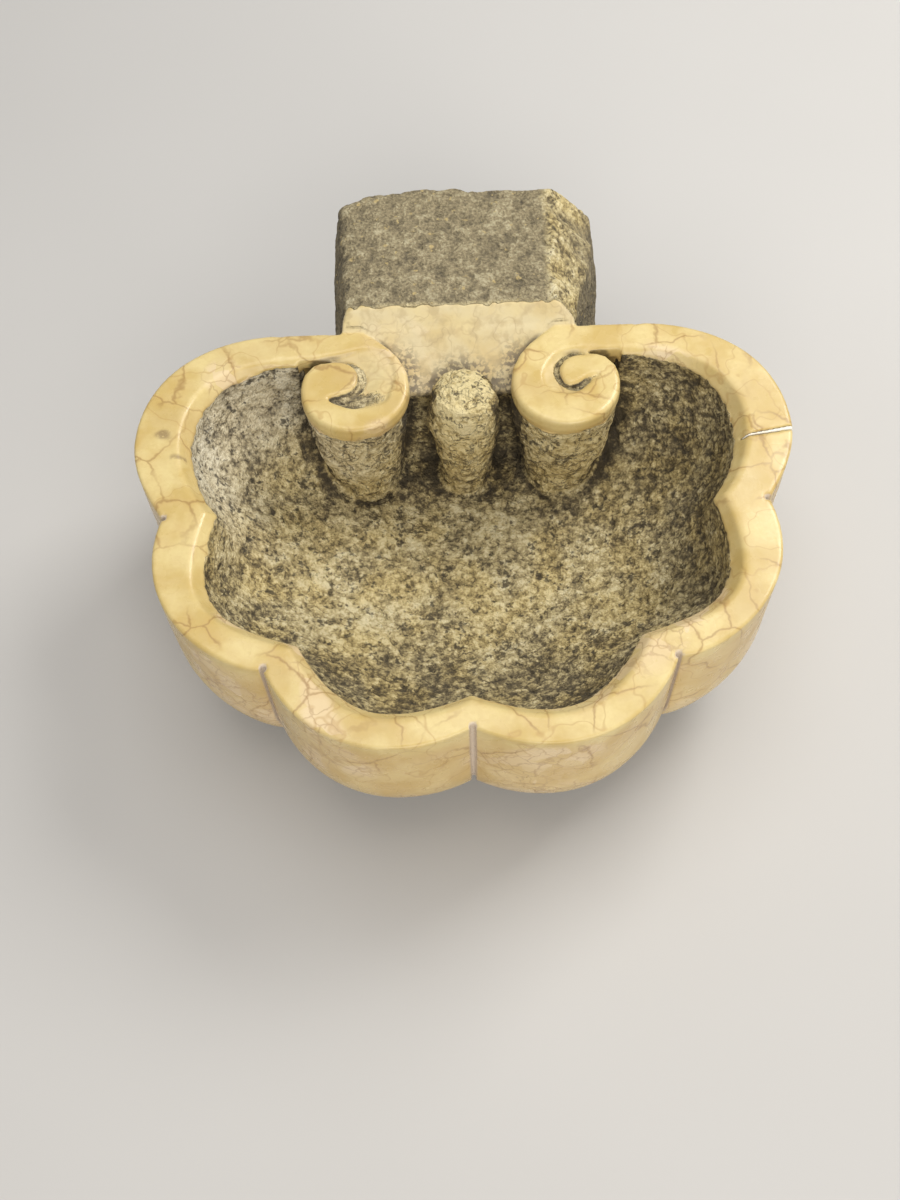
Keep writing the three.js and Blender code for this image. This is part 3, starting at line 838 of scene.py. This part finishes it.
class Nodes:
    """A short way to write a node tree."""

    def __init__(self, name):
        self.material = bpy.data.materials.new(name)
        self.material.use_nodes = True
        self.tree = self.material.node_tree
        self.shader = self.tree.nodes["Principled BSDF"]

    def add(self, kind, inputs=None, out=0, **settings):
        node = self.tree.nodes.new(kind)
        for key, value in settings.items():
            setattr(node, key, value)
        for key, value in (inputs or {}).items():
            self.put(node.inputs[key], value)
        return node.outputs[out]

    def put(self, socket, value):
        if isinstance(value, bpy.types.NodeSocket):
            self.tree.links.new(value, socket)
        elif isinstance(value, tuple) and len(value) == 3 and socket.type == "RGBA":
            socket.default_value = (*value, 1)
        else:
            socket.default_value = value

    def math(self, operation, a, b=0.0, clamp=False):
        return self.add("ShaderNodeMath", {0: a, 1: b}, operation=operation, use_clamp=clamp)

    def step(self, value, start, end, low=0.0, high=1.0):
        return self.add("ShaderNodeMapRange", {0: value, 1: start, 2: end, 3: low, 4: high},
                        interpolation_type="SMOOTHSTEP")

    def mix(self, share, a, b, blend="MIX"):
        return self.add("ShaderNodeMix", {0: share, 6: a, 7: b}, out=2, data_type="RGBA", blend_type=blend)

    def noise(self, vector, size, detail=2.0, distortion=0.0, out=0):
        values = {"Vector": vector, "Scale": 1 / size, "Detail": detail, "Distortion": distortion}
        return self.add("ShaderNodeTexNoise", values, out=out)

    def attribute(self, name):
        return self.add("ShaderNodeAttribute", out=2, attribute_name=name)

    def millimetres(self):
        coords = self.add("ShaderNodeTexCoord", out=3)
        return self.add("ShaderNodeVectorMath", {0: coords, 3: 1 / MM}, operation="SCALE")


def warped(n, place, size, amount):
    """Places shifted by noise, so that cells get wandering sides."""
    wander = n.noise(place, size, detail=3.0, out=1)
    centred = n.add("ShaderNodeVectorMath", {0: wander, 1: (0.5, 0.5, 0.5)}, operation="SUBTRACT")
    shift = n.add("ShaderNodeVectorMath", {0: centred, 3: amount}, operation="SCALE")
    return n.add("ShaderNodeVectorMath", {0: place, 1: shift}, operation="ADD")


def vein_lines(n, place, size, width, presence):
    """Thin lines along the sides of random cells, where presence lets them show."""
    edge = n.add("ShaderNodeTexVoronoi", {"Vector": place, "Scale": 1 / size}, feature="DISTANCE_TO_EDGE")
    line = n.step(edge, 0.0, width / size, 1.0, 0.0)
    return n.math("MULTIPLY", line, presence)


def polished_colour(n, place):
    """Cream to honey yellow in patches, with a few thin brown veins and patches of broken, healed stone,
    and a painted rose reflection of bounced light on the walls below the rim.
    """
    drift = warped(n, place, 22.0, 14.0)
    clouds = n.noise(drift, 26.0, 4.0)
    colour = n.mix(n.step(clouds, 0.36, 0.64), HONEY, CREAM)
    dull = n.step(n.noise(place, 41.0, 4.0), 0.5, 0.72, 0.0, 0.45)
    colour = n.mix(dull, colour, DULL_CREAM)
    mottle = n.step(n.noise(place, 6.5, 4.0), 0.42, 0.62, 0.0, 0.30)
    colour = n.mix(mottle, colour, MOTTLED_HONEY)
    specks = n.noise(place, 2.2, 3.0)
    colour = n.mix(n.step(specks, 0.4, 0.75, 0.0, 0.16), colour, SPECK_BROWN)
    level = n.add("ShaderNodeSeparateXYZ", {0: place}, out=2)
    # Painted reflection: a rose tint of light bounced up onto the walls below the rim.
    wall = n.step(level, RIM_Z - 14, RIM_Z - 3, 1.0, 0.0)
    colour = n.mix(n.math("MULTIPLY", wall, 0.28), colour, PAINTED_BOUNCE_ROSE)
    zone = n.step(n.math("ADD", n.noise(place, 62.0, 1.0), n.math("MULTIPLY", wall, 0.06)), 0.545, 0.62)
    shards = n.add("ShaderNodeTexVoronoi", {"Vector": drift, "Scale": 1 / 11.0}, out=1)
    tone = n.add("ShaderNodeSeparateColor", {0: shards})
    pale = n.math("MULTIPLY", zone, n.step(tone, 0.3, 0.9, 0.15, 0.75))
    colour = n.mix(pale, colour, SHARD_PALE)
    net = warped(n, place, 16.0, 13.0)
    fade = n.step(n.noise(place, 34.0, 1.0), 0.38, 0.6, 0.0, 0.85)
    main = vein_lines(n, net, 34.0, 1.0, fade)
    halo = vein_lines(n, net, 34.0, 4.5, fade)
    small = vein_lines(n, warped(n, place, 7.0, 8.0), 11.5, 0.75, zone)
    ridge = n.math("ABSOLUTE", n.math("SUBTRACT", n.noise(place, 52.0, 3.0), 0.5))
    wander = n.step(ridge, 0.0, 0.009, 0.45, 0.0)
    colour = n.mix(n.math("MULTIPLY", halo, 0.22), colour, VEIN_HALO)
    colour = n.mix(wander, colour, VEIN_FAINT)
    colour = n.mix(n.math("MULTIPLY", small, 0.5), colour, VEIN_SMALL)
    colour = n.mix(n.math("MULTIPLY", main, 0.70), colour, VEIN_MAIN)
    dirt = n.math("MULTIPLY", n.attribute("soil_and_shade"), n.step(n.noise(place, 2.4, 4.0), 0.28, 0.50))
    return n.mix(n.math("MULTIPLY", dirt, 0.65), colour, RIM_DIRT)


def weighted(n, parts):
    """The sum of values, each times its weight."""
    total = 0.0
    for value, weight in parts:
        total = n.math("ADD", total, n.math("MULTIPLY", value, weight))
    return total


def pecked_colour(n, place):
    """Pale bruised crystals on the high points and grey-brown dirt in the pits, with painted shade where
    the stone is hemmed in and on the marks of painted shade, and painted light on the fronts of the columns
    and bud.
    """
    coords = warped(n, place, 4.0, 4.0)
    cell = {"Vector": coords, "Scale": 1 / 3.4}
    centre = n.step(n.add("ShaderNodeTexVoronoi", cell), 0.15, 0.62, 1.0, 0.0)
    tone = n.add("ShaderNodeSeparateColor", {0: n.add("ShaderNodeTexVoronoi", cell, out=1)})
    shadow = n.step(n.attribute("far_open"), 0.05, 0.6, 1.0, 0.0)
    height = weighted(n, [
        (n.noise(place, 1.3, 4.0), 0.75),
        (n.noise(coords, 3.2, 3.0), 0.75),
        (n.noise(place, 10.0, 3.0), 0.50),
        (n.noise(place, 44.0, 2.0), 0.55),
        (centre, 0.18),
        (tone, 0.26),
        (n.attribute("peck"), 0.28),
        (shadow, -0.34),
        # painted shade from the stains' mask
        (n.attribute("painted_shade"), -0.14),
        (n.attribute("worn"), 0.26),
        (n.attribute("bleached"), 0.10),
        # painted light: the fronts of the columns and bud lighter
        (n.attribute("relief"), 0.12),
    ])
    shade = n.add("ShaderNodeValToRGB", {0: n.step(height, 0.84, 1.85)})
    ramp_stops(shade, PECKED_STOPS)
    yellow = n.math("ADD", n.noise(place, 27.0, 3.0), n.math("MULTIPLY", n.attribute("relief"), 0.12))
    ochre = n.step(yellow, 0.38, 0.64, 0.1, 0.7)
    shade = n.mix(ochre, shade, OCHRE_TINT, blend="MULTIPLY")
    pitting = n.math("ADD", n.noise(warped(n, place, 3.0, 3.0), 2.6, 3.0), n.noise(place, 8.0, 3.0))
    pits = n.step(pitting, 0.72, 0.94, 0.85, 0.0)
    ridge = n.math("ABSOLUTE", n.math("SUBTRACT", n.noise(place, 11.0, 4.0), 0.5))
    nicks = n.math("MULTIPLY", n.step(ridge, 0.0, 0.022, 0.75, 0.0), n.attribute("relief"))
    pits = n.math("MAXIMUM", pits, nicks)
    shade = n.mix(pits, shade, PIT_DARK)
    grey = n.add("ShaderNodeHueSaturation", {"Saturation": 0.55, "Value": 1.02, "Color": shade})
    return n.mix(n.math("MULTIPLY", n.attribute("bleached"), 0.75), shade, grey)


def weathered_colour(n, place):
    """The tenon: dull grey-brown with lichen-yellow points."""
    coords = warped(n, place, 4.0, 2.5)
    grain = n.math("ADD", n.math("MULTIPLY", n.noise(coords, 1.7, 3.0), 0.9), -0.1)
    patches = n.noise(place, 15.0, 3.0)
    grain = n.math("ADD", grain, n.math("MULTIPLY", n.noise(coords, 4.0, 2.0), 0.2))
    height = n.math("ADD", grain, n.math("MULTIPLY", patches, 0.5))
    height = n.math("ADD", height, n.math("MULTIPLY", n.attribute("peck"), 0.22))
    # Painted shade: the tenon's flanks darker.
    height = n.math("SUBTRACT", height, n.math("MULTIPLY", n.attribute("painted_shade"), 0.16))
    shade = n.add("ShaderNodeValToRGB", {0: n.step(height, 0.16, 1.12)})
    ramp_stops(shade, WEATHERED_STOPS)
    dots = n.noise(place, 5.5, 2.0)
    return n.mix(n.step(dots, 0.64, 0.72, 0.0, 0.75), shade, LICHEN)


def shoulder_colour(n, place, base):
    """Smooth but never polished: paler than the rim, whitish in places, with speckled painted shade where
    the face is hemmed in towards the volutes.
    """
    pale = n.mix(n.step(n.noise(place, 18.0, 4.0), 0.35, 0.65, 0.45, 0.9), base, SHOULDER_PALE)
    mottle = n.step(n.noise(warped(n, place, 9.0, 9.0), 7.0, 6.0), 0.46, 0.66, 0.0, 0.55)
    pale = n.mix(mottle, pale, SHOULDER_TAN)
    ridge = n.math("ABSOLUTE", n.math("SUBTRACT", n.noise(place, 24.0, 3.0), 0.5))
    pale = n.mix(n.step(ridge, 0.0, 0.014, 0.28, 0.0), pale, SHOULDER_LINE)
    # Painted shade: speckled darkening where the face is less open, towards the volutes.
    soil_and_shade = n.step(n.attribute("far_open"), 0.1, 0.75, 0.9, 0.0)
    soil_and_shade = n.math("MULTIPLY", soil_and_shade, n.step(n.noise(place, 2.8, 5.0), 0.44, 0.56))
    return n.mix(soil_and_shade, pale, SHOULDER_SHADE)


def ramp_stops(output, stops):
    """Colours of a ramp node, given by one of its outputs."""
    band = output.node.color_ramp
    for place, colour in stops[1:-1]:
        band.elements.new(place).color = (*colour, 1)
    for element, (place, colour) in zip(band.elements, stops):
        element.position = place
        element.color = (*colour, 1)


def marble(name):
    """The stone of every carved piece: polished, pecked or weathered, as its marks say, with shade painted
    into its crevices.
    """
    n = Nodes(name)
    place = n.millimetres()
    fray = n.math("MULTIPLY", n.math("SUBTRACT", n.noise(place, 1.6, 3.0), 0.5), 0.7)
    rough = n.step(n.math("ADD", n.attribute("rough"), fray), 0.3, 0.7)
    worked = n.mix(n.attribute("weathered"), pecked_colour(n, place), weathered_colour(n, place))
    colour = n.mix(rough, polished_colour(n, place), worked)
    colour = n.mix(n.attribute("shoulder"), colour, shoulder_colour(n, place, colour))
    # Painted shade: darker where the surface is hemmed in, in crevices and hollows, broken up by noise.
    crevice = n.step(n.attribute("near_open"), 0.05, 0.55, 0.72, 0.0)
    crevice = n.math("MULTIPLY", crevice, n.step(n.noise(place, 3.0, 3.0), 0.2, 0.6, 0.5, 1.0))
    colour = n.mix(crevice, colour, CREVICE_SHADE)
    colour = n.mix(n.math("MULTIPLY", n.attribute("mortar"), 0.9), colour, MORTAR_PALE)
    n.put(n.shader.inputs["Base Color"], colour)
    smear = n.step(n.noise(place, 14.0, 3.0), 0.3, 0.7, 0.22, 0.38)
    smear = n.math("ADD", smear, n.math("MULTIPLY", n.attribute("shoulder"), 0.2))
    dullness = n.add("ShaderNodeMix", {0: rough, 2: smear, 3: WORKED_ROUGHNESS}, data_type="FLOAT")
    n.put(n.shader.inputs["Roughness"], dullness)
    n.put(n.shader.inputs["Specular IOR Level"], 0.45)
    grain = n.math("ADD", n.noise(place, 1.5, 4.0), n.math("MULTIPLY", n.noise(place, 3.4, 2.0), 0.9))
    strength = n.add("ShaderNodeMix", {0: rough, 2: POLISHED_GRAIN, 3: 1.0}, data_type="FLOAT")
    height = n.math("MULTIPLY", grain, strength)
    bump = n.add("ShaderNodeBump", {"Strength": 1.0, "Distance": BUMP_MM * MM, "Height": height})
    n.put(n.shader.inputs["Normal"], bump)
    return n.material


def filler():
    """The white paste in the crack."""
    n = Nodes("white_filler")
    place = n.millimetres()
    stain = n.noise(place, 3.5, 3.0)
    paste = n.mix(n.step(stain, 0.45, 0.75), FILLER_WHITE, FILLER_STAIN)
    n.put(n.shader.inputs["Base Color"], paste)
    n.put(n.shader.inputs["Roughness"], n.step(stain, 0.2, 0.8, 0.5, 0.7))
    grain = n.noise(place, 1.2, 3.0)
    bump = n.add("ShaderNodeBump", {"Strength": 0.4, "Distance": FILLER_BUMP_MM * MM, "Height": grain})
    n.put(n.shader.inputs["Normal"], bump)
    return n.material


def floor_material():
    n = Nodes("pale_floor")
    place = n.millimetres()
    tone = n.mix(n.noise(place, 300.0), FLOOR_GREY, FLOOR_PALE)
    n.put(n.shader.inputs["Base Color"], tone)
    n.put(n.shader.inputs["Roughness"], 0.9)
    return n.material


# ---------------------------------------------------------------- stage
FLOOR_HALF = 6.0
ROOM_COLOUR, ROOM_LIGHT = (1.0, 0.98, 0.95, 1), 0.36
EYE = (-2.65, -240.7, 586.8)  # in plan millimetres, with z counted from the rim
LOOK = (-0.0100, 0.4817, -0.8763)
LEVEL_RIGHT = (0.99978, 0.02077, 0.0)
CAMERA_ROLL = 3.0  # in degrees
LENS, SENSOR_WIDTH = 39.0, 36.0


def make_floor():
    half = FLOOR_HALF
    mesh = bpy.data.meshes.new("floor")
    corners = [(-half, -half, 0), (half, -half, 0), (half, half, 0), (-half, half, 0)]
    mesh.from_pydata(corners, [], [(0, 1, 2, 3)])
    floor = bpy.data.objects.new("floor", mesh)
    floor.data.materials.append(floor_material())
    bpy.context.scene.collection.objects.link(floor)


def area_light(name, place, target, size, power, colour=(1, 1, 1)):
    data = bpy.data.lights.new(name, "AREA")
    data.shape = "RECTANGLE"
    data.size, data.size_y = size
    data.energy = power
    data.color = colour
    light = bpy.data.objects.new(name, data)
    light.location = place
    light.rotation_euler = (Vector(target) - Vector(place)).to_track_quat("-Z", "Y").to_euler()
    bpy.context.scene.collection.objects.link(light)


def make_lights():
    world = bpy.data.worlds.new("soft_room")
    world.use_nodes = True
    world.node_tree.nodes["Background"].inputs[0].default_value = ROOM_COLOUR
    world.node_tree.nodes["Background"].inputs[1].default_value = ROOM_LIGHT
    bpy.context.scene.world = world
    area_light("window", (0.9, 0.7, 1.3), (0, 0, 0.1), (0.8, 0.7), 18.0, (1.0, 0.98, 0.94))
    area_light("ceiling", (-0.1, 0.3, 2.2), (0, 0, 0), (1.4, 1.4), 14.0)
    area_light("room", (0.3, -1.7, 1.2), (0, 0, 0.05), (1.8, 1.2), 24.0, (1.0, 0.96, 0.91))


def make_camera():
    """The eye above and in front of the basin, looking steeply down into it."""
    eye = Vector((EYE[0], EYE[1] + ORIGIN_Y, EYE[2] + RIM_Z)) * MM
    forward = Vector(LOOK).normalized()
    flat_right = Vector(LEVEL_RIGHT)
    flat_up = flat_right.cross(forward).normalized()
    roll = math.radians(CAMERA_ROLL)
    right = math.cos(roll) * flat_right - math.sin(roll) * flat_up
    up = math.sin(roll) * flat_right + math.cos(roll) * flat_up
    data = bpy.data.cameras.new("camera")
    data.lens, data.sensor_width = LENS, SENSOR_WIDTH
    data.clip_start, data.clip_end = 0.05, 50.0
    camera = bpy.data.objects.new("camera", data)
    rotation = Matrix((right, up, -forward)).transposed().to_4x4()
    camera.matrix_world = Matrix.Translation(eye) @ rotation
    bpy.context.scene.collection.objects.link(camera)
    bpy.context.scene.camera = camera


# ---------------------------------------------------------------- the stoup
def on_side(region, side):
    """A mirrored region kept to one side of the centre line."""
    return lambda x, y, z: np.maximum(region(x, y, z), -side * x)


def node_box(node):
    low, high = box_mm(node)
    room = NODE_MARGIN
    return low - (room, room + ORIGIN_Y, room), high + (room, room - ORIGIN_Y, room)


def make_stoup():
    stone_look = marble("veined_marble")
    basin_box = (BASIN_LOW - (1, 1 + ORIGIN_Y, 1), BASIN_HIGH + (1, 4 - ORIGIN_Y, 1))
    carved_piece("basin_bowl", "basin", piece_field(basin_region), *basin_box, PITCH, stone_look, "marble")
    for side, label in ((-1, "left"), (1, "right")):
        field = piece_field(on_side(volute_region, side))
        carved_piece(f"{label}_volute_scroll", f"{label}_volute", field, *node_box(f"{label}_volute"),
                     FINE_PITCH, stone_look, "marble")
    carved_piece("carved_bud", "centre_bud", piece_field(bud_region), *node_box("centre_bud"),
                 FINE_PITCH, stone_look, "pecked_marble")
    carved_piece("rough_tenon", "wall_tenon", piece_field(tenon_region), *node_box("wall_tenon"),
                 PITCH, stone_look, "pecked_marble")
    carved_piece("crack_filling", "rim_crack_fill", filler_field, *node_box("rim_crack_fill"),
                 FILLER_PITCH, filler(), "white_filler")


bpy.context.scene.view_settings.view_transform = "Standard"
make_camera()
make_lights()
make_floor()
make_stoup()
